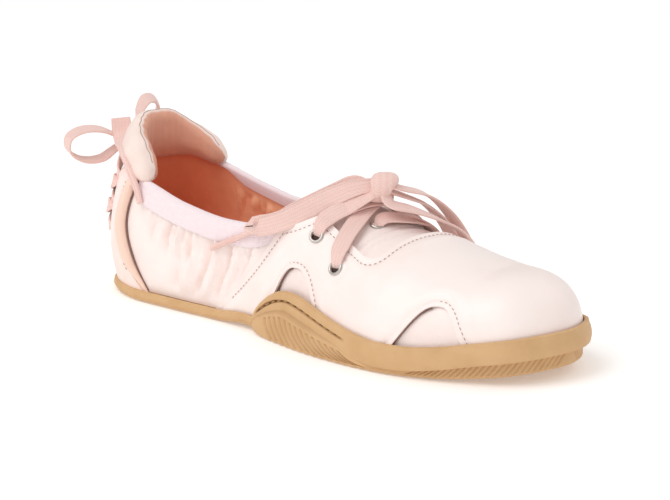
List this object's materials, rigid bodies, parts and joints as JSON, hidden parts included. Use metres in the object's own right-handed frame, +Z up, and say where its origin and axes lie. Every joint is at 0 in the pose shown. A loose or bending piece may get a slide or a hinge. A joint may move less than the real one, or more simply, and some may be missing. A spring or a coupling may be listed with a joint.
{
  "type": "ballet flat",
  "caption": "Soft lace-up ballet flat with a gathered elastic collar, arched overlay, padded laced heel and a ribbed gum sole that wraps up the waist.",
  "frame": {"origin": "on the floor under the middle of the shoe's box, bows left out", "axes": "+X to the toe, -Y to the outer side of the foot, +Z up"},
  "size_m": [0.2655, 0.0869, 0.0784],
  "materials": {
    "gum_rubber": "matte gum rubber, moulded ribs",
    "terracotta_lining": "matte lining",
    "pink_nylon": "thin satin nylon, gathered",
    "pink_overlay": "smooth satin-faced overlay, stitched",
    "lilac_tongue": "smooth fabric",
    "beige_pad": "padded fabric",
    "pale_elastic": "ribbed elastic tape",
    "silver_metal": "satin metal",
    "dusty_lace": "flat woven cotton lace"
  },
  "bodies": {
    "root": {"outsole": "gum_rubber", "insole": "terracotta_lining", "upper": "pink_nylon", "vamp_overlay": "pink_overlay", "tongue": "lilac_tongue", "heel_pad": "beige_pad", "heel_counter_lateral": "pink_overlay", "heel_counter_medial": "pink_overlay", "collar_elastic_lateral": "pale_elastic", "collar_elastic_medial": "pale_elastic", "heel_slit_lateral_1": "pink_overlay", "heel_slit_lateral_2": "pink_overlay", "heel_slit_lateral_3": "pink_overlay", "heel_slit_medial_1": "pink_overlay", "heel_slit_medial_2": "pink_overlay", "heel_slit_medial_3": "pink_overlay", "front_eyelet_lateral_rear": "silver_metal", "front_eyelet_medial_rear": "silver_metal", "front_eyelet_lateral_front": "silver_metal", "front_eyelet_medial_front": "silver_metal", "tongue_eyelet_lateral": "silver_metal", "tongue_eyelet_medial": "silver_metal", "front_lace_crossings": "dusty_lace", "heel_lace_crossings": "dusty_lace", "front_lace_knot": "dusty_lace", "heel_lace_knot": "dusty_lace", "front_loop_lateral": "dusty_lace", "front_end_lateral": "dusty_lace", "front_loop_medial": "dusty_lace", "front_end_medial": "dusty_lace", "heel_loop_lateral": "dusty_lace", "heel_loop_medial": "dusty_lace", "heel_end_lateral": "dusty_lace", "heel_end_medial": "dusty_lace"}
  },
  "joints": []
}
